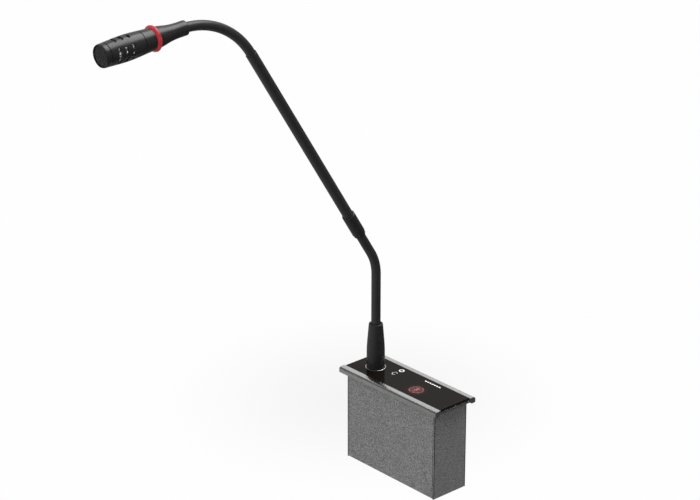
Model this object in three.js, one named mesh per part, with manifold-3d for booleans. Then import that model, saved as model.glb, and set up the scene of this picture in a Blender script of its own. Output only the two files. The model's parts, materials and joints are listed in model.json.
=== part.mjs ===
// A flush-mounted gooseneck discussion microphone, in millimetres, +Z up.
// The origin is the centre of the housing's flat bottom face. The long side of the housing runs
// along X, and the microphone leans towards -Y, which is where the speaker sits.

import * as THREE from "three";
import { mergeVertices } from "three/addons/utils/BufferGeometryUtils.js";
import Module from "manifold-3d";

const wasm = await Module();
wasm.setup();

// ---------------------------------------------------------------- driving dimensions

const gap = 0.3; // clearance between neighbouring pieces that don't touch
const cut = 1; // how far a cutting tool runs past the face it cuts

const sheet = 1.2; // steel sheet of the housing
const boxLength = 101.9;
const boxWidth = 35.1;
const panelTop = 80.5; // top face of the glass
const panelLength = 110;
const panelWidth = 32.3;
const glassThickness = 1.6;
const floorThickness = 1.9; // floor of the aluminium frame
const frameLength = 112.6;
const frameWidth = 43.8;
const skirtDrop = 1.5; // how far the long lips hang below the frame's floor

const floorTop = panelTop - glassThickness;
const floorBottom = floorTop - floorThickness;
const seatHeight = floorBottom - skirtDrop; // the lips rest on the table here

const neckX = -36.4; // axis of the gooseneck's socket
const flexRadius = 3.8;
const tubeRadius = 4.3;
const boreRadius = 3.6; // wire bore of the rigid tube
const sleeveRadius = 7.4; // lock sleeve at its foot
const sleeveFoot = panelTop + 0.6;
const sleeveTop = panelTop + 38.8;

const neckTilt = 32; // degrees from vertical of the rigid tube
const cornerHeight = panelTop + 92.5; // where the upright and the tilted centre lines meet
const lowerBendRadius = 38;
const collarStart = 33.5; // distances along the tilted line, from the corner
const collarLength = 23.3;
const tubeEnd = 236.5;
const upperBendRadius = 68.7;
const upperBendTurn = 58.9; // degrees
const headTilt = 94; // degrees from vertical of the capsule's axis

const keyX = 16.5;
const keyY = -4.8;
const keyRadius = 6.7;

const fine = 28; // sides of a round piece that shows
const plain = 16; // sides of a round piece inside, or of a neck piece

// ---------------------------------------------------------------- finishes

function finish(color, roughness, metalness) {
  return new THREE.MeshStandardMaterial({ color, roughness, metalness });
}

const looks = {
  coat: finish(0x6f6f70, 0.75, 0.2),
  aluminium: finish(0xc4c4c2, 0.35, 0.9),
  glass: finish(0x1d1b1a, 0.08, 0.1),
  chrome: finish(0xe2e2e2, 0.1, 1),
  black: finish(0x1c1c1e, 0.45, 0.3),
  rubber: finish(0x1f1f21, 0.6, 0),
  ring: finish(0xd8353c, 0.35, 0),
  key: finish(0x5a1214, 0.3, 0),
  mark: finish(0xe8e8e8, 0.4, 0),
  board: finish(0x1f4a2c, 0.6, 0.1),
  plastic: finish(0x26262a, 0.55, 0),
  brass: finish(0xb99a55, 0.3, 1),
  steel: finish(0x9a9a9c, 0.35, 1),
  mesh: finish(0x3a3a3c, 0.5, 0.7),
  capsule: finish(0xa8a8a6, 0.3, 0.9),
};

// ---------------------------------------------------------------- shape helpers

function rad(degrees) {
  return THREE.MathUtils.degToRad(degrees);
}

// A closed three.js geometry as a solid that can be joined and cut.
function solid(geometry) {
  const bare = geometry.index ? geometry.toNonIndexed() : geometry.clone();
  bare.deleteAttribute("normal");
  bare.deleteAttribute("uv");
  const merged = mergeVertices(bare, 1e-4);
  const mesh = new wasm.Mesh({
    numProp: 3,
    vertProperties: new Float32Array(merged.attributes.position.array),
    triVerts: new Uint32Array(merged.index.array),
  });
  mesh.merge();
  return new wasm.Manifold(mesh);
}

// The geometry of a solid.
function shown(body) {
  const mesh = body.getMesh();
  const geometry = new THREE.BufferGeometry();
  geometry.setAttribute("position", new THREE.BufferAttribute(mesh.vertProperties, 3));
  geometry.setIndex(new THREE.BufferAttribute(mesh.triVerts, 1));
  geometry.computeVertexNormals();
  return geometry;
}

// base with every tool taken away.
function carve(base, tools) {
  return shown(tools.reduce((body, tool) => body.subtract(solid(tool)), solid(base)));
}

// A box between two corners.
function block(low, high) {
  const size = high.map((value, i) => value - low[i]);
  const middle = high.map((value, i) => (value + low[i]) / 2);
  return new THREE.BoxGeometry(...size).translate(...middle);
}

// An upright cylinder.
function rod(radius, bottom, top, x = 0, y = 0, sides = plain) {
  return new THREE.CylinderGeometry(radius, radius, top - bottom, sides)
    .rotateX(Math.PI / 2)
    .translate(x, y, (top + bottom) / 2);
}

// A turned piece about +Z. profile is a list of [radius, height] that starts and ends on the
// axis, or, when hollow is true, a loop round the wall of a ring.
function turned(profile, sides = fine, hollow = false) {
  const loop = hollow ? [...profile, profile[0]] : profile;
  const area = loop.reduce((sum, [r, z], i) => {
    const [nextR, nextZ] = loop[(i + 1) % loop.length];
    return sum + r * nextZ - nextR * z;
  }, 0);
  const ordered = area > 0 ? loop : [...loop].reverse();
  const points = ordered.map(([r, z]) => new THREE.Vector2(r, z));
  return new THREE.LatheGeometry(points, sides).rotateX(Math.PI / 2);
}

// Points on a circle in a turning profile: angles in degrees, 0 outwards and 90 up.
function arc(radius, r0, z0, from, to, steps) {
  return Array.from({ length: steps + 1 }, (unused, i) => {
    const angle = rad(from + ((to - from) * i) / steps);
    return [r0 + radius * Math.cos(angle), z0 + radius * Math.sin(angle)];
  });
}

// A flat outline pushed straight along X: the outline's own axes become Y and Z.
function alongX(outline, length) {
  const axes = new THREE.Matrix4().makeBasis(
    new THREE.Vector3(0, 1, 0),
    new THREE.Vector3(0, 0, 1),
    new THREE.Vector3(1, 0, 0),
  );
  const settings = { depth: length, bevelEnabled: false, curveSegments: 5 };
  return new THREE.ExtrudeGeometry(outline, settings).translate(0, 0, -length / 2).applyMatrix4(axes);
}

// A flat outline pushed up along Z.
function upwards(outline, bottom, top, curveSegments = 12) {
  const settings = { depth: top - bottom, bevelEnabled: false, curveSegments };
  return new THREE.ExtrudeGeometry(outline, settings).translate(0, 0, bottom);
}

function piece(name, geometry, material, parent) {
  const mesh = new THREE.Mesh(geometry, material);
  mesh.name = name;
  parent.add(mesh);
  return mesh;
}

// A group whose own +Z is tilted from vertical towards -Y, at a point of the neck's plane.
function tiltedGroup(parent, y, z, degrees) {
  const group = new THREE.Group();
  group.position.set(neckX, y, z);
  group.rotation.x = rad(degrees);
  parent.add(group);
  return group;
}

const microphone = new THREE.Group();

// ---------------------------------------------------------------- housing

const pillarPlaces = [
  [-45.3, -12.3],
  [45.3, -12.3],
  [45.3, 12.3],
  [-45.3, 12.3],
];
const jackPlaces = [10.6, 28.1];
const jackY = 1.2;
const jackBody = [16, 13.6];
const jackTop = 21.5;
const flangeLength = 14; // the end plates' feet, which the pillars clamp
const shellLength = boxLength - 2 * (sheet + gap); // the end plates cover the folded sheet's ends
const flangeTop = 2 * sheet;
const screwShaft = 1.4;
const screwHead = 2.7;
const plateClearance = 0.2; // between the end plates and the frame above them

// Front wall, bottom and back wall, folded from one sheet.
function housingOutline() {
  const half = boxWidth / 2;
  const bend = 1.3;
  const inner = bend - sheet;
  const middle = half - bend;
  const outline = new THREE.Shape();
  outline.moveTo(-half, floorBottom);
  outline.lineTo(-half, bend);
  outline.absarc(-middle, bend, bend, Math.PI, 1.5 * Math.PI);
  outline.lineTo(middle, 0);
  outline.absarc(middle, bend, bend, -Math.PI / 2, 0);
  outline.lineTo(half, floorBottom);
  outline.lineTo(half - sheet, floorBottom);
  outline.lineTo(half - sheet, bend);
  outline.absarc(middle, bend, inner, 0, -Math.PI / 2, true);
  outline.lineTo(-middle, sheet);
  outline.absarc(-middle, bend, inner, -Math.PI / 2, -Math.PI, true);
  outline.lineTo(-half + sheet, floorBottom);
  outline.closePath();
  return outline;
}

// The cone and hole that a countersunk screw sits in.
function countersink([x, y]) {
  const wide = screwHead + gap;
  const narrow = screwShaft + gap;
  const profile = [
    [0, -cut],
    [wide, -cut],
    [wide, 0],
    [narrow, sheet],
    [narrow, flangeTop + cut],
    [0, flangeTop + cut],
  ];
  return turned(profile, plain).translate(x, y, 0);
}

function addHousing(parent) {
  const holes = pillarPlaces.map(countersink);
  const mouths = jackPlaces.map((x) => {
    const reach = [jackBody[0] / 2 + gap, jackBody[1] / 2 + gap];
    return block([x - reach[0], jackY - reach[1], -cut], [x + reach[0], jackY + reach[1], sheet + cut]);
  });
  const folded = carve(alongX(housingOutline(), shellLength), [...holes, ...mouths]);
  piece("housing_shell", folded, looks.coat, parent);

  const outer = boxLength / 2;
  const top = floorBottom - plateClearance;
  const outline = new THREE.Shape();
  outline.moveTo(outer, 0);
  outline.lineTo(outer, top);
  outline.lineTo(outer - sheet, top);
  outline.lineTo(outer - sheet, flangeTop);
  outline.lineTo(outer - flangeLength, flangeTop);
  outline.lineTo(outer - flangeLength, flangeTop - sheet);
  outline.lineTo(outer - sheet, flangeTop - sheet);
  outline.lineTo(outer - sheet, 0);
  outline.closePath();
  const footReach = boxWidth / 2 - sheet - gap;
  const beside = [-1, 1].map((side) => {
    const near = side * footReach;
    const far = side * (boxWidth / 2 + cut);
    const low = [outer - flangeLength - cut, Math.min(near, far), flangeTop - sheet - cut];
    const high = [outer - sheet, Math.max(near, far), flangeTop + cut];
    return block(low, high);
  });
  for (const [name, turn] of [["end_plate_right", 0], ["end_plate_left", Math.PI]]) {
    const blank = upwards(outline, -boxWidth / 2, boxWidth / 2).rotateX(Math.PI / 2);
    const plate = carve(blank, [...beside, ...holes]);
    piece(name, plate.rotateZ(turn), looks.coat, parent);
  }
}

// Threaded pillars clamp the end plates and the housing to the frame, from screws underneath.
function addPillars(parent) {
  const threadDepth = 8;
  const pillarRadius = 2.6;
  const hexRadius = 1.15;
  const hexDepth = 0.9;
  const headSink = 0.05; // the screw's head lies this far inside the housing
  const shaftTop = flangeTop + threadDepth - cut;
  pillarPlaces.forEach(([x, y], i) => {
    const hole = rod(screwShaft + gap, flangeTop - cut, flangeTop + threadDepth);
    const post = carve(rod(pillarRadius, flangeTop, floorBottom, 0, 0, 6), [hole]);
    piece(`pillar_${i + 1}`, post.translate(x, y, 0), looks.steel, parent);

    const profile = [
      [0, headSink],
      [screwHead, headSink],
      [screwShaft, sheet],
      [screwShaft, shaftTop],
      [0, shaftTop],
    ];
    const hexSocket = rod(hexRadius, -cut, hexDepth, 0, 0, 6);
    const screw = carve(turned(profile, plain), [hexSocket]);
    piece(`bottom_screw_${i + 1}`, screw.translate(x, y, 0), looks.steel, parent);
  });
}

// ---------------------------------------------------------------- frame, glass and marks

const glassClearance = 0.12; // between the glass and the lips
const lipInner = panelWidth / 2 + glassClearance;
const frameHalf = frameWidth / 2;

// The aluminium extrusion: a floor for the glass between two long rounded lips.
function frameOutline() {
  const flatEnd = frameHalf - 1.7;
  const shoulder = frameHalf - 0.9;
  const skirtInner = boxWidth / 2 + gap;
  const footChamfer = 0.5;
  const noseTop = panelTop - 0.55;
  const noseFoot = noseTop - 1.7;
  const nosePull = 0.3; // how far below the nose's top its curve is drawn towards
  const right = [
    [lipInner, panelTop],
    [flatEnd, panelTop],
    [shoulder, noseTop],
    [frameHalf, noseFoot],
    [frameHalf, seatHeight + footChamfer],
    [frameHalf - footChamfer, seatHeight],
    [skirtInner, seatHeight],
    [skirtInner, floorBottom],
  ];
  const nose = [frameHalf, noseTop - nosePull];
  const outline = new THREE.Shape();
  outline.moveTo(0, floorTop);
  outline.lineTo(lipInner, floorTop);
  right.slice(0, 3).forEach(([y, z]) => outline.lineTo(y, z));
  outline.quadraticCurveTo(...nose, ...right[3]);
  right.slice(4).forEach(([y, z]) => outline.lineTo(y, z));
  right.slice(3).reverse().forEach(([y, z]) => outline.lineTo(-y, z));
  outline.quadraticCurveTo(-nose[0], nose[1], -right[2][0], right[2][1]);
  right.slice(0, 2).reverse().forEach(([y, z]) => outline.lineTo(-y, z));
  outline.lineTo(-lipInner, floorTop);
  outline.closePath();
  return outline;
}

const trimOuter = 8.45;
const trimInner = 7.65;
const socketNeck = 7.35;
const trimClearance = 0.15; // between the trim ring and the glass
const keyClearance = 0.2; // between the key and the glass
const keyFlangeReach = 0.7; // how far the key's flange reaches under the glass
const markDepth = 0.8;
const markClearance = 0.1;
const markOpening = 35; // degrees either side of +X that the open mark leaves free
const powerMark = { x: -16.8, y: 10.6, outer: 2.3, inner: 1.5 };
const statusMark = { x: -16.9, y: 2.9, outer: 2.5, inner: 1.8 };

function addFrame(parent) {
  const socketHole = rod(socketNeck + gap, floorBottom - cut, floorTop + cut, neckX, 0, fine);
  const flangeHole = keyRadius + keyFlangeReach + 2 * keyClearance;
  const keyHole = rod(flangeHole, floorBottom - cut, floorTop + cut, keyX, keyY, fine);
  const frame = carve(alongX(frameOutline(), frameLength), [socketHole, keyHole]);
  piece("top_frame", frame, looks.aluminium, parent);
}

// A ring-shaped mark, or the groove that it is inlaid in.
function ringGroove({ x, y, outer, inner }, bottom, top) {
  const wall = [
    [inner, bottom],
    [outer, bottom],
    [outer, top],
    [inner, top],
  ];
  return turned(wall, plain, true).translate(x, y, 0);
}

// A C-shaped inlay, open towards the key.
function openRing({ outer, inner }, halfOpening) {
  const outline = new THREE.Shape();
  outline.absarc(0, 0, outer, rad(halfOpening), rad(360 - halfOpening));
  outline.absarc(0, 0, inner, rad(360 - halfOpening), rad(halfOpening), true);
  outline.closePath();
  return outline;
}

function addGlass(parent) {
  const half = [panelLength / 2, panelWidth / 2];
  const sheetOfGlass = block([-half[0], -half[1], floorTop], [half[0], half[1], panelTop]);
  const grooveBottom = panelTop - markDepth;
  const grooves = [powerMark, statusMark].map((mark) => {
    const outer = mark.outer + markClearance;
    const inner = mark.inner - markClearance;
    return ringGroove({ ...mark, outer, inner }, grooveBottom, panelTop + cut);
  });
  const holes = [
    rod(trimOuter + trimClearance, floorTop - cut, panelTop + cut, neckX, 0, fine),
    rod(keyRadius + keyClearance, floorTop - cut, panelTop + cut, keyX, keyY, fine),
  ];
  piece("glass_panel", carve(sheetOfGlass, [...grooves, ...holes]), looks.glass, parent);

  piece("power_mark", ringGroove(powerMark, grooveBottom, panelTop), looks.mark, parent);
  const openMark = upwards(openRing(statusMark, markOpening), grooveBottom, panelTop);
  openMark.translate(statusMark.x, statusMark.y, 0);
  piece("status_mark", openMark, looks.mark, parent);
}

// ---------------------------------------------------------------- talk key and its switch

const keyTravel = 0.6;
const keyEdge = 0.25; // chamfer round the key's face
const keyFoot = 75.6;
const footRadius = 1.6;
const boardTop = 70.3;
const boardThickness = 1.6;
const switchTop = boardTop + 3.5;
const switchHalf = 3;
const plungerRadius = 1.4;
const plungerFoot = boardTop + 1.2;
const lampLow = [keyX + 4.2, keyY - 0.8, boardTop];
const lampSize = [2, 1.6, 0.9];

function addKey(parent) {
  const flangeBottom = floorBottom + keyTravel + keyClearance;
  const flangeTopHeight = floorTop - 0.25;
  const flangeRadius = keyRadius + keyFlangeReach;
  const profile = [
    [0, keyFoot],
    [footRadius, keyFoot],
    [footRadius, flangeBottom],
    [flangeRadius, flangeBottom],
    [flangeRadius, flangeTopHeight],
    [keyRadius, flangeTopHeight],
    [keyRadius, panelTop - keyEdge],
    [keyRadius - keyEdge, panelTop],
    [0, panelTop],
  ];
  piece("talk_button", turned(profile).translate(keyX, keyY, 0), looks.key, parent);

  const plunger = rod(plungerRadius, plungerFoot, keyFoot, keyX, keyY);
  piece("switch_plunger", plunger, looks.plastic, parent);

  const wellBottom = plungerFoot - keyTravel - gap;
  const well = rod(plungerRadius + gap, wellBottom, switchTop + cut, keyX, keyY);
  const low = [keyX - switchHalf, keyY - switchHalf, boardTop];
  const high = [keyX + switchHalf, keyY + switchHalf, switchTop];
  piece("switch_body", carve(block(low, high), [well]), looks.plastic, parent);

  const lampHigh = lampLow.map((value, i) => value + lampSize[i]);
  piece("key_lamp", block(lampLow, lampHigh), looks.mark, parent);
}

// ---------------------------------------------------------------- boards and jacks

const keyBoardSpan = { left: -22, right: 38, halfWidth: 13 };
const mainBoardSpan = { left: -20, right: 40, bottom: 4, top: 62 };
const linkSpan = { left: -10, right: 14, bottom: 56, thickness: 5 };
const jackFoot = 0.2;
const jackMouth = { halfWidth: 5.95, front: 4, back: 3.6, depth: 14.5 };
const jackLatch = { halfWidth: 3, front: 5.3, back: 3.9, depth: 12 };

function addElectronics(parent) {
  const { left, right, halfWidth } = keyBoardSpan;
  const keyBoardBottom = boardTop - boardThickness;
  const keyBoard = block([left, -halfWidth, keyBoardBottom], [right, halfWidth, boardTop]);
  piece("key_board", keyBoard, looks.board, parent);

  const mainFront = jackY + jackBody[1] / 2;
  const mainLow = [mainBoardSpan.left, mainFront, mainBoardSpan.bottom];
  const mainHigh = [mainBoardSpan.right, mainFront + boardThickness, mainBoardSpan.top];
  piece("main_board", block(mainLow, mainHigh), looks.board, parent);

  const linkLow = [linkSpan.left, mainFront - linkSpan.thickness, linkSpan.bottom];
  const linkHigh = [linkSpan.right, mainFront, keyBoardBottom];
  piece("board_link", block(linkLow, linkHigh), looks.plastic, parent);

  jackPlaces.forEach((x, i) => {
    const half = [jackBody[0] / 2, jackBody[1] / 2];
    const low = [x - half[0], jackY - half[1], jackFoot];
    const high = [x + half[0], jackY + half[1], jackTop];
    const mouth = block(
      [x - jackMouth.halfWidth, jackY - jackMouth.front, -cut],
      [x + jackMouth.halfWidth, jackY + jackMouth.back, jackMouth.depth],
    );
    const latch = block(
      [x - jackLatch.halfWidth, jackY - jackLatch.front, -cut],
      [x + jackLatch.halfWidth, jackY - jackLatch.back, jackLatch.depth],
    );
    piece(`link_jack_${i + 1}`, carve(block(low, high), [mouth, latch]), looks.plastic, parent);
  });
}

// ---------------------------------------------------------------- socket and plug

const socketBottom = 52;
const socketTop = panelTop - 0.4;
const socketFloor = socketBottom + 1.5;
const barrelRadius = 6;
const barrelBore = 5;
const barrelBottom = 56.2;
const barrelShoulder = panelTop + 1.6;
const barrelTop = 104;
const insertBottom = 71;
const insertTop = 75.9;
const pinCircle = 2.6;
const pinAngles = [90, 210, 330];

function pinPlace(degrees) {
  return [pinCircle * Math.cos(rad(degrees)), pinCircle * Math.sin(rad(degrees))];
}

const pinRadius = 0.75;
const pinTip = 57.6;

function addSocket(parent) {
  const wireHole = 3;
  const shellRadius = 8.2;
  const rimRadius = 10.4;
  const rimBottom = floorBottom - 1.6;
  const shellProfile = [
    [wireHole, socketBottom],
    [shellRadius, socketBottom],
    [shellRadius, rimBottom],
    [rimRadius, rimBottom],
    [rimRadius, floorBottom],
    [socketNeck, floorBottom],
    [socketNeck, socketTop],
    [barrelRadius + gap, socketTop],
    [barrelRadius + gap, socketFloor],
    [wireHole, socketFloor],
  ];
  const shell = turned(shellProfile, fine, true).translate(neckX, 0, 0);
  piece("socket_shell", shell, looks.black, parent);

  const baseRadius = barrelRadius - 0.1;
  const coreRadius = barrelBore - 0.4;
  const baseTop = socketFloor + 2;
  const coreTop = 69;
  const contactRadius = 1.1;
  const contactFoot = pinTip - 1;
  const insertProfile = [
    [0, socketFloor],
    [baseRadius, socketFloor],
    [baseRadius, baseTop],
    [coreRadius, baseTop],
    [coreRadius, coreTop],
    [0, coreTop],
  ];
  const contacts = pinAngles.map((angle) => {
    return rod(contactRadius, contactFoot, coreTop + cut, ...pinPlace(angle), 12);
  });
  const insert = carve(turned(insertProfile, plain), contacts).translate(neckX, 0, 0);
  piece("socket_insert", insert, looks.plastic, parent);

  const trimTop = panelTop + 0.4;
  const crownRadius = 0.35;
  const crown = arc(crownRadius, trimOuter - crownRadius, trimTop - crownRadius, 0, 90, 3);
  const trimProfile = [[trimInner, floorTop], [trimOuter, floorTop], ...crown, [trimInner, trimTop]];
  piece("trim_ring", turned(trimProfile, fine, true).translate(neckX, 0, 0), looks.chrome, parent);
}

function addPlug(parent) {
  const wireBore = 1.6;
  const insertSeat = insertTop + 0.1;
  const insertClearance = 0.15;
  const barrelProfile = [
    [barrelBore, barrelBottom],
    [barrelRadius, barrelBottom],
    [barrelRadius, barrelShoulder],
    [barrelBore, barrelShoulder],
    [barrelBore, barrelTop],
    [wireBore, barrelTop],
    [wireBore, insertSeat],
    [barrelBore, insertSeat],
  ];
  const barrel = turned(barrelProfile, plain, true).translate(neckX, 0, 0);
  piece("plug_barrel", barrel, looks.steel, parent);
  const insert = rod(barrelBore - insertClearance, insertBottom, insertTop, neckX, 0);
  piece("plug_insert", insert, looks.plastic, parent);
  pinAngles.forEach((angle, i) => {
    const [x, y] = pinPlace(angle);
    const pin = rod(pinRadius, pinTip, insertBottom, neckX + x, y, 12);
    piece(`plug_pin_${i + 1}`, pin, looks.brass, parent);
  });
}

// The boot that locks the plug in its socket: it turns on the plug's barrel.
function addLockSleeve(parent) {
  const footEdge = 0.25;
  const lipRadius = 0.6;
  const mouth = 4.6;
  const bore = flexRadius + gap + 0.05;
  const lip = arc(lipRadius, mouth + 0.5, sleeveTop - lipRadius, 0, 150, 4);
  const profile = [
    [barrelRadius + gap, sleeveFoot],
    [sleeveRadius - footEdge, sleeveFoot],
    [sleeveRadius, sleeveFoot + footEdge],
    [sleeveRadius, panelTop + 14],
    [sleeveRadius - 0.35, panelTop + 22],
    [sleeveRadius - 0.97, panelTop + 30],
    [sleeveRadius - 1.62, panelTop + 37],
    ...lip,
    [bore, sleeveTop - 1.6],
    [bore, barrelTop + 1],
    [barrelBore + gap, barrelTop + 0.5],
    [barrelBore + gap, barrelShoulder + 0.8],
    [barrelRadius + gap, barrelShoulder + 0.4],
  ];
  piece("lock_sleeve", turned(profile, fine, true).translate(neckX, 0, 0), looks.black, parent);
}

// ---------------------------------------------------------------- gooseneck

const tilt = rad(neckTilt);
const lowerTangent = lowerBendRadius * Math.tan(tilt / 2);
const lowerArc = lowerBendRadius * tilt;
const lowerStraight = cornerHeight - lowerTangent - sleeveTop;
const lowerEnd = lowerStraight + lowerArc + (collarStart - lowerTangent);

// A point [y, z] at a distance along the tilted straight part, from the corner.
function onTube(distance) {
  return [-distance * Math.sin(tilt), cornerHeight + distance * Math.cos(tilt)];
}

// A point [y, z] of the lower flexible part, at a distance from the lock sleeve's mouth.
function onLowerFlex(distance) {
  if (distance <= lowerStraight) {
    return [0, sleeveTop + distance];
  }
  if (distance <= lowerStraight + lowerArc) {
    const turn = (distance - lowerStraight) / lowerBendRadius;
    const rise = lowerBendRadius * Math.sin(turn);
    return [-lowerBendRadius * (1 - Math.cos(turn)), sleeveTop + lowerStraight + rise];
  }
  return onTube(lowerTangent + distance - lowerStraight - lowerArc);
}

// A point [y, z] of the upper flexible part, at a share from 0 to 1 of its arc.
function onUpperFlex(share) {
  const [y, z] = onTube(tubeEnd);
  const turn = tilt + rad(upperBendTurn) * share;
  const across = upperBendRadius * (Math.cos(tilt) - Math.cos(turn));
  const up = upperBendRadius * (Math.sin(turn) - Math.sin(tilt));
  return [y - across, z + up];
}

const cupRadius = flexRadius + gap;
const domeInset = 0.05;
const domeRadius = flexRadius - domeInset;
const spigotRadius = flexRadius - 0.5;
const spigotLength = 6; // how far a flexible part runs into its neighbours

// One rigid stretch of flexible neck on its own +Z: a cup round the hinge it turns on, and a
// dome for the next stretch. Either end can be plain instead.
function neckStretch(length, { cup = true, dome = true, spigot = 0 } = {}) {
  const rim = THREE.MathUtils.radToDeg(Math.acos(flexRadius / cupRadius));
  const bottom = cup
    ? arc(cupRadius, 0, 0, 90, rim, 3)
    : [
        [0, -spigot],
        [spigotRadius, -spigot],
        [spigotRadius, 0],
        [flexRadius, 0],
      ];
  const top = dome
    ? arc(domeRadius, 0, length, 0, 90, 3)
    : [
        [flexRadius, length],
        [0, length],
      ];
  const side = dome ? [[flexRadius, length - domeInset]] : [];
  const profile = [...bottom, ...side, ...top];
  profile[0][0] = 0;
  profile[profile.length - 1][0] = 0;
  return turned(profile, plain);
}

// A chain of neck stretches through a list of points [y, z]: the first and last are plain ends.
function addNeckChain(name, points, spigot, parent) {
  points.slice(0, -1).forEach(([y, z], i) => {
    const [nextY, nextZ] = points[i + 1];
    const length = Math.hypot(nextY - y, nextZ - z);
    const angle = THREE.MathUtils.radToDeg(Math.atan2(y - nextY, nextZ - z));
    const group = tiltedGroup(parent, y, z, angle);
    const ends = { cup: i > 0, dome: i < points.length - 2, spigot: i === 0 ? spigot : 0 };
    piece(`${name}_${i + 1}`, neckStretch(length, ends), looks.rubber, group);
  });
}

const hinges = 5; // in each flexible part, evenly spaced with half a space at either end
const hingeShares = Array.from({ length: hinges }, (unused, i) => (i + 0.5) / hinges);

function addNeck(parent) {
  const foot = [0, barrelTop + domeInset];
  const lower = hingeShares.map((share) => onLowerFlex(share * lowerEnd));
  const upperStart = onTube(tubeEnd + gap);
  const upper = hingeShares.map(onUpperFlex);
  const upperTail = onUpperFlex(1);
  addNeckChain("lower_flex", [foot, ...lower, onTube(collarStart + spigotLength)], 0, parent);
  addNeckChain("upper_flex", [upperStart, ...upper, upperTail], spigotLength, parent);
  addTube(parent);
}

// The rigid middle of the neck, and the collar that joins it to the lower flexible part.
function addTube(parent) {
  const group = tiltedGroup(parent, ...onTube(collarStart), neckTilt);
  const step = spigotLength + 2 * gap;
  const waist = flexRadius + 1.05;
  const body = waist + 0.4;
  const collarProfile = [
    [flexRadius + gap, 0],
    [waist - 0.2, 0],
    [waist, 0.3],
    [waist, 1.8],
    [body, 2.4],
    [body, collarLength - 1.2],
    [body - 0.35, collarLength],
    [tubeRadius + gap, collarLength],
    [tubeRadius + gap, step],
    [flexRadius + gap, step],
  ];
  piece("joint_collar", turned(collarProfile, fine, true), looks.black, group);

  const tubeStart = step + gap;
  const length = tubeEnd - collarStart;
  const endEdge = 0.3;
  const tubeProfile = [
    [boreRadius, tubeStart],
    [tubeRadius, tubeStart],
    [tubeRadius, length - endEdge],
    [tubeRadius - endEdge, length],
    [boreRadius, length],
  ];
  piece("rigid_tube", turned(tubeProfile, plain, true), looks.black, group);
}

// ---------------------------------------------------------------- head

// Distances along the head are from the end of the neck's bend, towards the mouth.
const sleeveBore = flexRadius + gap;
const mouthStart = 0.9; // the head sleeve's own tail, where the neck goes in
const ringStart = 27.8;
const ringEnd = 31.4;
const ringOuter = 9.85;
const ringGap = 0.15; // on either side of the light ring
const spigotOuter = 4.5; // of the collar's spigot, which carries the ring
const leadBore = 2.4;
const collarEnd = 41;
const seam = 0.35; // between collar, barrel and cap
const barrelStart = collarEnd + seam;
const barrelFront = 71.1;
const capStart = barrelFront + seam;
const capFront = 75.9;
const housingBore = 7.55;
const screenOuter = 7.25;
const screenInner = 6.85;
const slotWidth = 2.4;

// Rows of sound slots: distance along the head, and how many share each third of the barrel.
const slotRows = [
  { at: 64.2, count: 1 },
  { at: 58.5, count: 2 },
  { at: 52.5, count: 3 },
];
const slotSpan = 91; // degrees of each third that a row covers
const slotBridge = 9; // degrees of metal between two slots of a row
const firstThird = -12.5; // degrees, the middle of the first third

// A curved cutter for one slot, between two angles.
function slotCutter(at, from, to) {
  const near = housingBore - cut;
  const far = ringOuter + cut;
  const outline = new THREE.Shape();
  outline.absarc(0, 0, far, rad(from), rad(to));
  outline.absarc(0, 0, near, rad(to), rad(from), true);
  outline.closePath();
  return upwards(outline, at - slotWidth / 2, at + slotWidth / 2, 6);
}

function slotCutters() {
  return [0, 1, 2].flatMap((third) =>
    slotRows.flatMap(({ at, count }) => {
      const width = (slotSpan - slotBridge * (count - 1)) / count;
      const start = firstThird + 120 * third - slotSpan / 2;
      return Array.from({ length: count }, (unused, i) => {
        const from = start + i * (width + slotBridge);
        return slotCutter(at, from, from + width);
      });
    }),
  );
}

// The outside of the head in front of the light ring: a gentle swell, widest at its middle.
function headRadius(s) {
  const share = (s - ringEnd) / (capFront - ringEnd);
  return 8.3 + 0.4 * share + 1.03 * Math.sin(Math.PI * share) ** 1.5;
}

// Points along that outside between two distances.
function headOutline(from, to, steps) {
  return Array.from({ length: steps + 1 }, (unused, i) => {
    const s = from + ((to - from) * i) / steps;
    return [headRadius(s), s];
  });
}

// The flared tail of the head, which the neck goes into.
function addHeadSleeve(head) {
  const tail = 5.65;
  const end = ringStart - ringGap;
  const lampWell = [7.2, 25.1];
  const spigotWell = [4.8, 18.2];
  const leadWell = [2.6, 16.2];
  const profile = [
    [sleeveBore + 0.4, mouthStart],
    [tail - 0.35, mouthStart],
    [tail, mouthStart + 0.35],
    [tail, 8.2],
    [tail + 0.15, 11.7],
    [tail + 0.5, 15.2],
    [tail + 1.05, 18.7],
    [tail + 1.7, 22],
    [tail + 2.6, end],
    [lampWell[0], end],
    lampWell,
    [spigotWell[0], lampWell[1]],
    spigotWell,
    leadWell,
    [leadWell[0], 7],
    [sleeveBore, 5],
  ];
  piece("head_sleeve", turned(profile, fine, true), looks.black, head);
}

function addLightRing(head) {
  const bore = spigotOuter + 0.45;
  const middle = (ringStart + ringEnd) / 2;
  const half = (ringEnd - ringStart) / 2;
  const crown = arc(half, ringOuter - half, middle, -90, 90, 6);
  const ringProfile = [[bore, ringStart], ...crown, [bore, ringEnd]];
  piece("light_ring", turned(ringProfile, fine, true), looks.ring, head);

  const inner = spigotOuter + 0.4;
  const outer = 6.9;
  const [back, front] = [25.4, 26.6];
  const boardProfile = [[inner, back], [outer, back], [outer, front], [inner, front]];
  piece("ring_light_board", turned(boardProfile, plain, true), looks.board, head);
}

function addHeadCollar(head) {
  const start = ringEnd + ringGap;
  const plugOuter = 7.2;
  const plugInner = 6.2;
  const plugEnd = 44.6;
  const floor = 34.5;
  const profile = [
    [leadBore, 19.7],
    [spigotOuter, 19.7],
    [spigotOuter, start],
    ...headOutline(start, collarEnd, 3),
    [plugOuter, collarEnd],
    [plugOuter, plugEnd],
    [plugInner, plugEnd],
    [plugInner, floor],
    [leadBore, floor],
  ];
  piece("head_collar", turned(profile, fine, true), looks.black, head);
}

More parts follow.
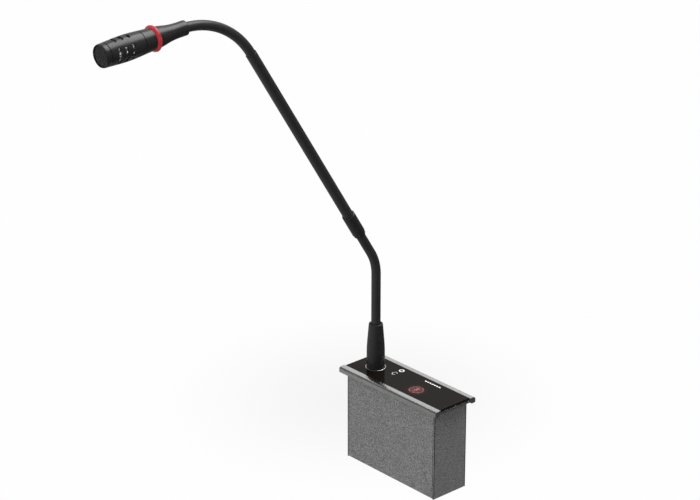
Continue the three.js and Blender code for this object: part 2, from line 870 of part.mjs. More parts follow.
function addBarrel(head) {
  const swell = headOutline(barrelStart, barrelFront, 6);
  const profile = [[housingBore, barrelStart], ...swell, [housingBore, barrelFront]];
  const barrel = carve(turned(profile, fine, true), slotCutters());
  piece("capsule_housing", barrel, looks.black, head);

  const [back, front] = [44.8, 67];
  const screenProfile = [
    [screenInner, back],
    [screenOuter, back],
    [screenOuter, front],
    [screenInner, front],
  ];
  piece("slot_screen", turned(screenProfile, fine, true), looks.capsule, head);
}

function addFrontCap(head) {
  const skirtStart = 67.4;
  const skirtInner = 6.9;
  const mouth = 7.75;
  const seatHeightInside = 73.9;
  const profile = [
    [skirtInner, skirtStart],
    [screenOuter, skirtStart],
    [screenOuter, capStart],
    [headRadius(capStart), capStart],
    [headRadius(capFront - 0.8), capFront - 0.8],
    [mouth + 0.45, capFront],
    [mouth, capFront],
    [mouth, seatHeightInside],
    [skirtInner, seatHeightInside - 0.4],
  ];
  piece("front_cap", turned(profile, fine, true), looks.black, head);

  const grilleRadius = mouth - 0.2;
  const grilleProfile = [
    [0, 74.4],
    [grilleRadius, 74.2],
    [grilleRadius, 75.2],
    [4, 75.6],
    [0, 75.75],
  ];
  piece("front_grille", turned(grilleProfile, fine), looks.mesh, head);
}

// The electret capsule in its rubber holder, and its lead back to the neck.
function addCapsule(head) {
  const capsuleRadius = 4.9;
  const [capsuleBack, capsuleFront] = [62.2, 71.4];
  const [holderBack, holderFront] = [61, 72];
  const [holderInner, holderOuter] = [capsuleRadius + 0.2, 6.6];
  const holder = [
    [holderInner, holderBack],
    [holderOuter, holderBack],
    [holderOuter, holderFront],
    [holderInner, holderFront],
  ];
  piece("capsule_holder", turned(holder, plain, true), looks.rubber, head);
  piece("capsule", rod(capsuleRadius, capsuleBack, capsuleFront), looks.capsule, head);

  const leadRadius = 0.8;
  const sway = 1.1;
  const leadPath = new THREE.CatmullRomCurve3([
    new THREE.Vector3(0, 0, 9),
    new THREE.Vector3(0, 0, 33),
    new THREE.Vector3(0, sway, 42),
    new THREE.Vector3(0, -sway, 51),
    new THREE.Vector3(0, 0, capsuleBack - 0.3),
  ]);
  const section = new THREE.Shape();
  section.absarc(0, 0, leadRadius, 0, 2 * Math.PI);
  const settings = { steps: 14, curveSegments: 8, bevelEnabled: false, extrudePath: leadPath };
  piece("capsule_lead", new THREE.ExtrudeGeometry(section, settings), looks.rubber, head);
}

function addHead(parent) {
  const head = tiltedGroup(parent, ...onUpperFlex(1), headTilt);
  addHeadSleeve(head);
  addLightRing(head);
  addHeadCollar(head);
  addBarrel(head);
  addFrontCap(head);
  addCapsule(head);
}

// ---------------------------------------------------------------- the whole microphone

addHousing(microphone);
addPillars(microphone);
addFrame(microphone);
addGlass(microphone);
addKey(microphone);
addElectronics(microphone);
addSocket(microphone);
addPlug(microphone);
addLockSleeve(microphone);
addNeck(microphone);
addHead(microphone);

export default microphone;
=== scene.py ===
import json
import math

import bmesh
import bpy
from mathutils import Matrix, Vector


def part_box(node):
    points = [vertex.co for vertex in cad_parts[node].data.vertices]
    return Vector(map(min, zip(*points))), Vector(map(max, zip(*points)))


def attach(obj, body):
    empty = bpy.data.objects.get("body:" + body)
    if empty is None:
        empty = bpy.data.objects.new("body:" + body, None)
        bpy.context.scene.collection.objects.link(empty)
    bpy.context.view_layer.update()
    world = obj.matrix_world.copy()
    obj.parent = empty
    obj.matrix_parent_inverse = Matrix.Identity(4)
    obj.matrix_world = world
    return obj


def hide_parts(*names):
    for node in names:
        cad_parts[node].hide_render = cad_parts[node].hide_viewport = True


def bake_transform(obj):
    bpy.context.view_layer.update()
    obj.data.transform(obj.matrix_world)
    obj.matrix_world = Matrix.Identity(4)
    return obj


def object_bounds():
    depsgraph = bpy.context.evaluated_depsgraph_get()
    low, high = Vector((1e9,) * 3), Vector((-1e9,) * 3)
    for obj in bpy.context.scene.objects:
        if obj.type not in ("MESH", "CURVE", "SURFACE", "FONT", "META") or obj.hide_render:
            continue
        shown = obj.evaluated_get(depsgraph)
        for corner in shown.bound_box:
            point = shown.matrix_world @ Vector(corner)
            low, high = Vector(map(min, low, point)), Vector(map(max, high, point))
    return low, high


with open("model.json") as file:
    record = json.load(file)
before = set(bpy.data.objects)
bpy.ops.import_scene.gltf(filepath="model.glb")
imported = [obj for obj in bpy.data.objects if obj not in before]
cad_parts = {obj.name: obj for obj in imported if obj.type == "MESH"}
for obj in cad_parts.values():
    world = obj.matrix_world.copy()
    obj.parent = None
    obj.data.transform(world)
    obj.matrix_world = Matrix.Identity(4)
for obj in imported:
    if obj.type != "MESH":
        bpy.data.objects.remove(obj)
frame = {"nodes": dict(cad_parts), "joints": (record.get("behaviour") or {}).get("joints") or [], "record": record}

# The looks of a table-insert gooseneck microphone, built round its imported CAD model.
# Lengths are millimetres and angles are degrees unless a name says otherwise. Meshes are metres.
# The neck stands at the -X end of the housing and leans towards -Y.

cad_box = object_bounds()
MM = 0.001
SMOOTH = 128  # sides of a round piece
SHARP = math.radians(38)  # edges sharper than this stay sharp


# ------------------------------------------------------------------ measuring the CAD model

def corners_of(node):
    """The distinct vertices of a CAD node, in millimetres."""
    places = {tuple(round(c / MM, 4) for c in v.co) for v in frame["nodes"][node].data.vertices}
    return [Vector(place) for place in places]


def middle_of(node):
    """The mean of a CAD node's distinct vertices: for a turned node, a point of its axis."""
    places = corners_of(node)
    return sum(places, Vector()) / len(places)


def low_high(node):
    low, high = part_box(node)
    return low / MM, high / MM


def hinge_point(name):
    joint = next(j for j in frame["joints"] if j["name"] == name)
    return Vector(joint["pos_m"]) / MM


class Axis:
    """A straight centre line in the neck's plane, with x across the plane and y in it."""

    def __init__(self, origin, direction):
        self.origin = Vector(origin)
        self.z = Vector(direction).normalized()
        self.x = Vector((1, 0, 0))
        self.y = self.z.cross(self.x)

    def at(self, distance):
        return self.origin + self.z * distance

    def round_at(self, radius, angle, distance):
        """A point at an angle in radians from x towards y."""
        across = self.x * math.cos(angle) + self.y * math.sin(angle)
        return self.at(distance) + across * radius

    def along(self, point):
        return (point - self.origin).dot(self.z)

    def span(self, node):
        """The first and last distance along the axis that a CAD node reaches."""
        distances = [self.along(point) for point in corners_of(node)]
        return min(distances), max(distances)

    def reach(self, node):
        """The smallest and largest distance from the axis of a CAD node's vertices."""
        radii = [(point - self.at(self.along(point))).length for point in corners_of(node)]
        return min(radii), max(radii)


neck_middle = middle_of("lock_sleeve")
neck_axis = Axis((neck_middle.x, neck_middle.y, 0), (0, 0, 1))
tube_axis = Axis(middle_of("joint_collar"), middle_of("rigid_tube") - middle_of("joint_collar"))
head_axis = Axis(middle_of("head_sleeve"), middle_of("front_cap") - middle_of("head_sleeve"))
key_middle = middle_of("talk_button")
key_axis = Axis((key_middle.x, key_middle.y, 0), (0, 0, 1))
panel_low, panel_high = low_high("glass_panel")
panel_top = panel_high.z
key_top = Vector((key_middle.x, key_middle.y, panel_top))


# ------------------------------------------------------------------ materials

class Shading:
    """A node tree, and short calls that add nodes to it."""

    def __init__(self, tree):
        self.tree = tree

    def node(self, kind, **settings):
        made = self.tree.nodes.new(kind)
        for name, value in settings.items():
            setattr(made, name, value)
        return made

    def feed(self, source, target):
        """Gives an input another node's output, or a plain value."""
        if isinstance(source, bpy.types.NodeSocket):
            self.tree.links.new(source, target)
        else:
            target.default_value = source

    def math(self, operation, first, second=0.0):
        made = self.node("ShaderNodeMath", operation=operation)
        self.feed(first, made.inputs[0])
        self.feed(second, made.inputs[1])
        return made.outputs[0]

    def vector_math(self, operation, first, second):
        made = self.node("ShaderNodeVectorMath", operation=operation)
        self.feed(first, made.inputs[0])
        self.feed(second, made.inputs[1])
        return made.outputs["Value"]

    def between(self, factor, low, high, start=0.3, end=0.7):
        """A number that goes smoothly from low to high as factor goes from start to end."""
        made = self.node("ShaderNodeMapRange", interpolation_type="SMOOTHSTEP")
        for value, name in ((factor, "Value"), (start, "From Min"), (end, "From Max"),
                            (low, "To Min"), (high, "To Max")):
            self.feed(value, made.inputs[name])
        return made.outputs["Result"]


class Recipe(Shading):
    """A procedural material: a Principled shader, and short calls for what feeds it."""

    def __init__(self, name, roughness=0.5, metallic=0.0):
        self.material = bpy.data.materials.new(name)
        self.material.use_nodes = True
        super().__init__(self.material.node_tree)
        self.shader = self.tree.nodes["Principled BSDF"]
        self.set("Roughness", roughness)
        self.set("Metallic", metallic)
        self.place = self.node("ShaderNodeTexCoord").outputs["Object"]

    def set(self, name, value):
        self.feed(value, self.shader.inputs[name])

    def noise(self, size, detail=3.0, stretch=(1, 1, 1)):
        """Noise with spots about size millimetres across, stretched along the axes."""
        mapping = self.node("ShaderNodeMapping")
        self.feed([1 / share for share in stretch], mapping.inputs["Scale"])
        self.feed(self.place, mapping.inputs["Vector"])
        made = self.node("ShaderNodeTexNoise")
        self.feed(1 / (size * MM), made.inputs["Scale"])
        self.feed(detail, made.inputs["Detail"])
        self.feed(mapping.outputs["Vector"], made.inputs["Vector"])
        return made.outputs["Fac"]

    def colours(self, factor, *stops):
        """A colour ramp: each stop is a place from 0 to 1 and a linear colour."""
        ramp = self.node("ShaderNodeValToRGB")
        self.feed(factor, ramp.inputs["Fac"])
        elements = ramp.color_ramp.elements
        for element, (place, colour) in zip(elements, (stops[0], stops[-1])):
            element.position = place
            element.color = (*colour, 1)
        for place, colour in stops[1:-1]:
            elements.new(place).color = (*colour, 1)
        return ramp.outputs["Color"]

    def tint(self, factor, low, high):
        """A ramp from one colour to another, over the middle of what factor gives."""
        return self.colours(factor, (0.3, low), (0.7, high))

    def bump(self, height, depth, strength=1.0):
        """A bump of depth millimetres, on top of any bump made before."""
        made = self.node("ShaderNodeBump")
        self.feed(strength, made.inputs["Strength"])
        self.feed(depth * MM, made.inputs["Distance"])
        self.feed(height, made.inputs["Height"])
        normal = self.shader.inputs["Normal"]
        if normal.links:
            self.feed(normal.links[0].from_socket, made.inputs["Normal"])
        self.feed(made.outputs["Normal"], normal)

    def shaded(self, colour, share):
        """A colour times a number."""
        made = self.node("ShaderNodeVectorMath", operation="SCALE")
        self.feed(colour, made.inputs[0])
        self.feed(share, made.inputs["Scale"])
        return made.outputs["Vector"]

    def parts_of(self, vector):
        """The x, y and z parts of a vector."""
        made = self.node("ShaderNodeSeparateXYZ")
        self.feed(vector, made.inputs[0])
        return made.outputs

    def facing(self):
        """The x, y and z parts of the surface's direction."""
        return self.parts_of(self.node("ShaderNodeNewGeometry").outputs["Normal"])

    def distance_from(self, point):
        """The distance in millimetres from a point."""
        return self.math("DIVIDE", self.vector_math("DISTANCE", self.place, point * MM), MM)


def grey(value):
    return (value, value, value)


def powder_coat():
    """Sandy grey powder coat: fine speckle, soft clouding and a pebbled surface."""
    made = Recipe("powder_coat")
    speckle = made.noise(0.62, detail=1)
    cloud = made.noise(14, detail=2)
    blended = made.math("ADD", made.math("MULTIPLY", speckle, 0.97), made.math("MULTIPLY", cloud, 0.03))
    colour = made.colours(blended, (0.36, grey(0.13)), (0.5, grey(0.285)), (0.64, (0.47, 0.47, 0.475)))
    # the coat's colour times painted shade along the seams of the end plates
    made.set("Base Color", made.shaded(colour, painted_seam_shade(made)))
    made.set("Roughness", made.between(speckle, 0.5, 0.72))
    made.set("Specular IOR Level", 0.4)
    made.bump(made.noise(0.5, detail=2), 0.05, 0.6)
    made.bump(made.noise(0.25), 0.03, 0.4)
    return made.material


def painted_seam_shade(made):
    """Painted shade along the edges of the end plates, where they meet the folded sheet: a dark line that stands
    in for the shadow in the gap.
    """
    seam = low_high("end_plate_right")[1].y
    full, none = 0.66 * MM, 1.1 * MM  # how far from the edge the dark is full, and gone
    inset = made.math("SUBTRACT", seam * MM, made.math("ABSOLUTE", made.parts_of(made.place)["Y"]))
    along_edge = made.between(inset, 0.85, 0.0, full, none)
    sideways = made.between(made.math("ABSOLUTE", made.facing()["X"]), 0.0, 1.0, 0.3, 0.7)
    return made.math("SUBTRACT", 1.0, made.math("MULTIPLY", along_edge, sideways))


def extruded_aluminium():
    """Anodised extrusion, drawn along X: satin on its sides and finely lined, with painted light that makes it
    bright on top and grey on its sides.
    """
    made = Recipe("extruded_aluminium", metallic=1.0)
    lines = made.noise(0.18, detail=4, stretch=(60, 1, 1))
    sparkle = made.noise(0.9, detail=3)
    tone = made.math("ADD", made.math("MULTIPLY", lines, 0.5), made.math("MULTIPLY", sparkle, 0.5))
    bare = made.colours(tone, (0.36, grey(0.68)), (0.62, (0.98, 0.98, 0.97)))
    upward = made.facing()["Z"]
    # painted light: the colour is made darker on faces that turn away from up
    made.set("Base Color", made.shaded(bare, made.between(upward, 0.74, 1.0, 0.7, 0.97)))
    polish = made.between(upward, 0.4, 0.13, 0.7, 0.98)
    made.set("Roughness", made.math("ADD", polish, made.between(sparkle, -0.03, 0.05)))
    made.bump(lines, 0.012, 0.5)
    made.bump(made.noise(1.1, detail=1), 0.16, 1.0)
    return made.material


def black_glass():
    """Back-painted glass, very smooth, with a trace of dust and a red glow round the key."""
    made = Recipe("black_glass")
    made.set("Base Color", (0.0105, 0.008, 0.0068, 1))
    dust = made.noise(0.35, detail=5)
    smear = made.noise(9, detail=3, stretch=(2, 1, 1))
    made.set("Roughness", made.math("ADD", made.between(smear, 0.025, 0.06), made.between(dust, 0, 0.02)))
    made.set("Specular IOR Level", 0.075)
    near = made.between(made.distance_from(key_top), 0.022, 0.0, 6.2, 10.5)
    made.set("Emission Color", (1, 0.06, 0.05, 1))
    made.set("Emission Strength", near)
    return made.material


def chrome():
    made = Recipe("chrome", metallic=1.0)
    made.set("Base Color", (0.82, 0.82, 0.83, 1))
    made.set("Roughness", made.between(made.noise(1.5), 0.05, 0.13))
    made.bump(made.noise(0.2, stretch=(1, 1, 6)), 0.004, 0.4)
    return made.material


def black_anodised():
    """Bead-blasted, black anodised aluminium."""
    made = Recipe("black_anodised")
    grit = made.noise(0.16, detail=4)
    cloud = made.noise(5, detail=2)
    made.set("Base Color", made.tint(cloud, grey(0.034), (0.041, 0.041, 0.0425)))
    polish = made.between(cloud, 0.23, 0.29)
    made.set("Roughness", made.math("ADD", polish, made.between(grit, -0.03, 0.04)))
    made.set("Specular IOR Level", 0.4)
    made.bump(grit, 0.012, 0.35)
    return made.material


def black_enamel():
    """Satin black enamel on the steel tube, with a slight orange peel."""
    made = Recipe("black_enamel")
    peel = made.noise(1.1, detail=2)
    made.set("Base Color", made.tint(peel, grey(0.044), (0.052, 0.052, 0.0535)))
    made.set("Roughness", made.between(peel, 0.3, 0.4))
    made.set("Specular IOR Level", 0.4)
    made.bump(peel, 0.02, 0.3)
    made.bump(made.noise(0.15), 0.006, 0.3)
    return made.material


def neck_rubber():
    """Soft-touch rubber skin of the flexible parts."""
    made = Recipe("neck_rubber")
    skin = made.noise(0.3, detail=4)
    cloud = made.noise(7, detail=2)
    made.set("Base Color", made.tint(cloud, grey(0.045), (0.053, 0.053, 0.0545)))
    made.set("Roughness", made.between(skin, 0.3, 0.42))
    made.set("Specular IOR Level", 0.4)
    made.bump(skin, 0.02, 0.35)
    return made.material


def red_light_ring():
    """Milky red plastic, lit from within."""
    made = Recipe("red_light_ring", roughness=0.28)
    milk = made.noise(1.8, detail=3)
    made.set("Base Color", made.tint(milk, (0.46, 0.035, 0.045), (0.62, 0.055, 0.065)))
    made.set("Subsurface Weight", 0.25)
    made.set("Subsurface Radius", (0.002, 0.0006, 0.0006))
    made.set("Subsurface Scale", 1.0)
    made.set("Emission Color", (1, 0.055, 0.07, 1))
    made.set("Emission Strength", made.between(milk, 0.08, 0.2))
    made.bump(made.noise(0.4), 0.01, 0.25)
    return made.material


def key_cap():
    """Smoked red key, a little brighter towards its middle."""
    made = Recipe("key_cap", roughness=0.07)
    away = made.distance_from(key_top)
    milk = made.noise(1.2)
    made.set("Base Color", (0.02, 0.006, 0.006, 1))
    made.set("Roughness", made.between(milk, 0.05, 0.09))
    made.set("Emission Color", (1, 0.07, 0.06, 1))
    made.set("Emission Strength", made.between(away, 0.07, 0.035, 1.0, 6.6))
    return made.material


def lit_mark(name, colour, low, high):
    """A print or inlay that is lit from behind."""
    made = Recipe(name, roughness=0.35)
    cloud = made.noise(0.7)
    made.set("Base Color", (*colour, 1))
    made.set("Emission Color", (*colour, 1))
    made.set("Emission Strength", made.between(cloud, low, high))
    return made.material


def wire_metal(name, low, high, roughness, metallic=1.0):
    made = Recipe(name, metallic=metallic)
    cloud = made.noise(0.8)
    made.set("Base Color", made.tint(cloud, grey(low), grey(high)))
    made.set("Roughness", made.between(made.noise(0.3), roughness, roughness + 0.12))
    return made.material


def bright_wire():
    """Plated wire of the slot screen: pale metal, with painted glints where it glows in spots."""
    made = Recipe("screen_mesh", roughness=0.35, metallic=0.3)
    tone_and_painted_glint = made.noise(1.3, detail=1)
    made.set("Base Color", made.tint(tone_and_painted_glint, grey(0.6), grey(0.95)))
    # painted glints: the wire glows white in spots where the noise is high, as if it caught the light
    made.set("Emission Color", (1, 1, 1, 1))
    made.set("Emission Strength", made.between(tone_and_painted_glint, 0.0, 0.75, 0.46, 0.66))
    return made.material


def circuit_board():
    """Green board with pale copper tracks under the mask."""
    made = Recipe("circuit_board", roughness=0.35)
    tracks = made.node("ShaderNodeTexBrick")
    made.feed(1 / (9 * MM), tracks.inputs["Scale"])
    made.feed(0.03, tracks.inputs["Mortar Size"])
    made.feed(made.place, tracks.inputs["Vector"])
    line = made.between(tracks.outputs["Fac"], 0, 1, 0.2, 0.8)
    made.set("Base Color", made.colours(line, (0, (0.012, 0.07, 0.026)), (1, (0.035, 0.15, 0.05))))
    made.bump(line, 0.03, 0.6)
    return made.material


def moulded_plastic(name, colour, roughness):
    made = Recipe(name)
    grain = made.noise(0.2, detail=2)
    tint = made.noise(4)
    dark = tuple(channel * 0.85 for channel in colour)
    made.set("Base Color", made.tint(tint, dark, colour))
    made.set("Roughness", made.between(grain, roughness - 0.06, roughness + 0.06))
    made.bump(grain, 0.015, 0.4)
    return made.material


def turned_steel():
    made = Recipe("turned_steel", metallic=1.0)
    lines = made.noise(0.15, detail=3, stretch=(1, 1, 0.5))
    made.set("Base Color", made.tint(lines, grey(0.36), grey(0.5)))
    made.set("Roughness", made.between(made.noise(2), 0.22, 0.36))
    made.bump(lines, 0.01, 0.3)
    return made.material


def brass():
    made = Recipe("brass", metallic=1.0)
    made.set("Base Color", made.tint(made.noise(2), (0.56, 0.37, 0.12), (0.68, 0.47, 0.17)))
    made.set("Roughness", made.between(made.noise(0.5), 0.18, 0.3))
    return made.material


looks = {
    "housing_coat": powder_coat(),
    "frame_metal": extruded_aluminium(),
    "panel_glass": black_glass(),
    "trim_chrome": chrome(),
    "black_anodised": black_anodised(),
    "black_enamel": black_enamel(),
    "neck_rubber": neck_rubber(),
    "ring_red": red_light_ring(),
    "key_red": key_cap(),
    "mark_white": lit_mark("mark_white", (0.85, 0.85, 0.85), 0.55, 0.75),
    "mark_dim": lit_mark("mark_dim", (0.6, 0.6, 0.6), 0.1, 0.2),
    "mark_pink": lit_mark("mark_pink", (0.34, 0.105, 0.1), 0.1, 0.2),
    "board_green": circuit_board(),
    "inner_plastic": moulded_plastic("inner_plastic", (0.02, 0.02, 0.023), 0.45),
    "holder_rubber": moulded_plastic("holder_rubber", (0.015, 0.015, 0.016), 0.6),
    "pin_brass": brass(),
    "plain_steel": turned_steel(),
    "grille_mesh": wire_metal("grille_mesh", 0.06, 0.19, 0.32, 0.3),
    "screen_mesh": bright_wire(),
    "capsule_metal": wire_metal("capsule_metal", 0.4, 0.5, 0.25),
}


# ------------------------------------------------------------------ mesh building

def new_object(name, vertices, faces):
    """An object from points in millimetres, with its faces turned outwards."""
    mesh = bpy.data.meshes.new(name)
    mesh.from_pydata([point * MM for point in vertices], [], faces)
    work = bmesh.new()
    work.from_mesh(mesh)
    bmesh.ops.recalc_face_normals(work, faces=work.faces)
    work.to_mesh(mesh)
    work.free()
    made = bpy.data.objects.new(name, mesh)
    bpy.context.scene.collection.objects.link(made)
    return made


def show(name, mesh, slot, look=None):
    """A new piece from its (vertices, faces), smooth except at its sharp edges."""
    piece = new_object(name, *mesh)
    piece.data.materials.append(looks[look or slot])
    soften_shading(piece)
    return piece


def soften_shading(piece):
    piece.data.shade_smooth()
    piece.data.set_sharp_from_angle(angle=SHARP)


def rounded(corners, steps=5):
    """A profile with its corners rounded: each corner is (radius, distance, rounding)."""
    outline = []
    for i, (r, s, rounding) in enumerate(corners):
        here = Vector((r, s))
        if rounding == 0:
            outline.append(here)
            continue
        before = Vector(corners[i - 1][:2]) - here
        after = Vector(corners[(i + 1) % len(corners)][:2]) - here
        reach = min(rounding, before.length / 2, after.length / 2)
        start = here + before.normalized() * reach
        end = here + after.normalized() * reach
        for step in range(steps + 1):
            t = step / steps
            outline.append(start * (1 - t) ** 2 + here * (2 * t * (1 - t)) + end * t ** 2)
    return outline


def turned_mesh(axis, profile, sides=SMOOTH):
    """Vertices and faces of a profile turned about an axis. It may start and end on the axis."""
    vertices, rings = [], []
    for r, s in profile:
        if r < 1e-6:
            rings.append([len(vertices)] * sides)
            vertices.append(axis.at(s))
            continue
        rings.append(range(len(vertices), len(vertices) + sides))
        vertices += [axis.round_at(r, 2 * math.pi * i / sides, s) for i in range(sides)]
    closes = profile[0][0] > 1e-6
    pairs = zip(rings, rings[1:] + (rings[:1] if closes else []))
    faces = []
    for near, far in pairs:
        for i in range(sides):
            j = (i + 1) % sides
            face = dict.fromkeys((near[i], near[j], far[j], far[i]))
            faces.append(tuple(face))
    return vertices, faces


def put_on(piece, body, node=None):
    """Lets a piece ride on a body, in the place of a CAD node if one is named."""
    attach(piece, body)
    if node:
        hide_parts(node)


def turned(name, axis, profile, slot, body, node=None, sides=SMOOTH):
    """A piece with a profile turned about an axis."""
    put_on(show(name, turned_mesh(axis, profile, sides), slot), body, node)


def swept_mesh(path, radius, sides, across=None):
    """A closed round bar along a list of points. Its direction across doesn't twist on the way."""
    vertices = []
    for i, point in enumerate(path):
        ahead = (path[min(i + 1, len(path) - 1)] - path[max(i - 1, 0)]).normalized()
        across = across or ahead.orthogonal()
        across = (across - ahead * across.dot(ahead)).normalized()
        other = ahead.cross(across)
        for k in range(sides):
            angle = 2 * math.pi * k / sides
            vertices.append(point + (across * math.cos(angle) + other * math.sin(angle)) * radius)
    return vertices, bar_faces(len(path), sides)


def tube_faces(rings, sides):
    """The faces between rings of vertices that follow one another."""
    faces = []
    for i in range(rings - 1):
        for k in range(sides):
            j = (k + 1) % sides
            faces.append((i * sides + k, i * sides + j, (i + 1) * sides + j, (i + 1) * sides + k))
    return faces


def bar_faces(rings, sides):
    """The same, with a flat face at each end."""
    ends = [tuple(range(sides)), tuple(range((rings - 1) * sides, rings * sides))]
    return tube_faces(rings, sides) + ends


def joined(parts):
    """Several (vertices, faces) as one."""
    vertices, faces = [], []
    for more_vertices, more_faces in parts:
        start = len(vertices)
        vertices += more_vertices
        faces += [tuple(start + i for i in face) for face in more_faces]
    return vertices, faces


def plate_mesh(outline, bottom, top):
    """A flat outline, a list of (x, y), between two heights."""
    vertices = [Vector((x, y, height)) for height in (bottom, top) for x, y in outline]
    return vertices, bar_faces(2, len(outline))


def arc_points(centre, radius, start, end, steps=16):
    turns = [math.radians(start + (end - start) * i / steps) for i in range(steps + 1)]
    return [(centre[0] + radius * math.cos(t), centre[1] + radius * math.sin(t)) for t in turns]


def band_mesh(centre, inner, outer, start, end, bottom, top, steps=40):
    """A flat arc-shaped band between two angles, or a full ring when they are 360 apart."""
    if end - start >= 360:
        ring = [(inner, bottom), (outer, bottom), (outer, top), (inner, top)]
        return turned_mesh(Axis((*centre, 0), (0, 0, 1)), ring, 96)
    outside = arc_points(centre, outer, start, end, steps)
    inside = arc_points(centre, inner, start, end, steps)
    return plate_mesh(outside + inside[::-1], bottom, top)


def box_mesh(low, high):
    outline = [(low[0], low[1]), (high[0], low[1]), (high[0], high[1]), (low[0], high[1])]
    return plate_mesh(outline, low[2], high[2])


def bake(piece):
    """Makes a piece's modifiers part of its mesh."""
    bpy.context.view_layer.update()
    graph = bpy.context.evaluated_depsgraph_get()
    mesh = bpy.data.meshes.new_from_object(piece.evaluated_get(graph), depsgraph=graph)
    piece.modifiers.clear()
    piece.data = mesh


def cut(piece, tool_mesh):
    """Takes a tool's shape away from a piece."""
    tool = new_object("tool", *tool_mesh)
    modifier = piece.modifiers.new("cut", "BOOLEAN")
    modifier.operation = "DIFFERENCE"
    modifier.solver = "EXACT"
    modifier.object = tool
    bake(piece)
    bpy.data.objects.remove(tool)


def add_bevel(piece, width, segments=2):
    """Modifiers that round a piece's sharp edges and keep its flat faces flat."""
    weld = piece.modifiers.new("weld", "WELD")
    weld.merge_threshold = 0.002 * MM
    bevel = piece.modifiers.new("bevel", "BEVEL")
    bevel.width = width * MM
    bevel.segments = segments
    bevel.limit_method = "ANGLE"
    bevel.angle_limit = SHARP
    bevel.harden_normals = False
    weighted = piece.modifiers.new("weighted", "WEIGHTED_NORMAL")
    weighted.keep_sharp = False


# ------------------------------------------------------------------ base

HOUSING_NODES = ("housing_shell", "end_plate_right", "end_plate_left")
INNER_NODES = (
    "switch_body", "key_lamp", "key_board", "main_board", "board_link",
    "link_jack_1", "link_jack_2", "socket_shell", "socket_insert", "plug_insert",
    "plug_pin_1", "plug_pin_2", "plug_pin_3", "switch_plunger", "plug_barrel",
    "ring_light_board", "capsule_holder", "capsule", "capsule_lead",
    *(f"pillar_{i}" for i in range(1, 5)), *(f"bottom_screw_{i}" for i in range(1, 5)),
)
ABOVE = 1.0  # how far a cutting tool runs past the face it cuts


def keep_node(node, bevel, segments=2):
    """Shows a CAD node as it is, with its slot's material and softened edges."""
    piece = frame["nodes"][node]
    slot = next(p["material_slot"] for p in frame["record"]["subparts"] if p["node"] == node)
    piece.data.materials.clear()
    piece.data.materials.append(looks[slot])
    piece.data.shade_smooth()
    add_bevel(piece, bevel, segments)


def face_radius():
    """Radius of the key's face, above its hidden flange."""
    near_top = [point for point in corners_of("talk_button") if point.z > panel_top - 0.4]
    return max(math.hypot(point.x - key_middle.x, point.y - key_middle.y) for point in near_top)


def mark_shape(node):
    """Centre, inner and outer radius of a ring-shaped inlay, which may be open towards +X."""
    low, high = low_high(node)
    centre = (low.x + (high.y - low.y) / 2, (low.y + high.y) / 2)
    radii = [math.hypot(point.x - centre[0], point.y - centre[1]) for point in corners_of(node)]
    return centre, min(radii), max(radii)


def add_glass():
    """The glass panel, with holes for the neck's socket and the key, and grooves for the marks."""
    panel = show("panel_glass", box_mesh(panel_low, panel_high), "panel_glass")
    below = panel_low.z - ABOVE
    above = panel_top + ABOVE
    socket_hole = neck_axis.reach("trim_ring")[1] + 0.15
    key_hole = face_radius() + 0.2
    for axis, radius in ((neck_axis, socket_hole), (key_axis, key_hole)):
        cut(panel, turned_mesh(axis, [(0, below), (radius, below), (radius, above), (0, above)]))
    for node in ("power_mark", "status_mark"):
        centre, inner, outer = mark_shape(node)
        bottom = low_high(node)[0].z - 0.05
        cut(panel, band_mesh(centre, inner - 0.06, outer + 0.06, 0, 360, bottom, above))
    add_bevel(panel, 0.2, 3)
    bake(panel)
    put_on(panel, "base", "glass_panel")


def add_marks():
    """Lit rings in the glass, and a plain printed row of bars."""
    inlay_top = panel_top + 0.02
    inner_gap = 0.15
    outer_gap = 0.05
    for node, look, opening in (("power_mark", "mark_white", 0), ("status_mark", "mark_dim", 76)):
        centre, inner, outer = mark_shape(node)
        start, end = opening / 2, 360 - opening / 2
        bottom = low_high(node)[0].z
        ring = band_mesh(centre, inner + inner_gap, outer - outer_gap, start, end, bottom, inlay_top)
        put_on(show(f"{node}_inlay", ring, "mark_white", look), "base", node)

    bars = 7
    bar = Vector((1.9, 1.1))
    step = 2.6
    first = Vector((key_middle.x - 7.2, panel_high.y - 4.9))  # near corner of the first bar
    parts = []
    for i in range(bars):
        x = first.x + i * step
        parts.append(box_mesh((x, first.y, panel_top - 0.1), (x + bar.x, first.y + bar.y, inlay_top)))
    put_on(show("panel_print", joined(parts), "mark_white"), "base")


def add_trim_ring():
    low, high = neck_axis.span("trim_ring")
    inner, outer = neck_axis.reach("trim_ring")
    crown = 0.3
    profile = rounded([(inner, low, 0), (outer, low, 0), (outer, high, crown), (inner, high, crown)])
    turned("neck_trim_ring", neck_axis, profile, "trim_chrome", "base", "trim_ring")


def add_key():
    """The round talk key: its face, flange and foot, and the lit symbol on it."""
    face = face_radius()
    foot_radius = 1.6
    low, high = key_axis.span("talk_button")
    flange = key_axis.reach("talk_button")[1]
    levels = sorted({round(point.z, 2) for point in corners_of("talk_button")})
    flange_bottom, flange_top = levels[1], levels[2]
    profile = rounded([
        (0, low, 0),
        (foot_radius, low, 0.15),
        (foot_radius, flange_bottom, 0),
        (flange, flange_bottom, 0.15),
        (flange, flange_top, 0.15),
        (face, flange_top, 0),
        (face, high, 0.3),
        (0, high, 0),
    ])
    turned("talk_key", key_axis, profile, "key_red", "key", "talk_button")
    put_on(show("talk_symbol", key_symbol(high), "mark_white", "mark_pink"), "key")


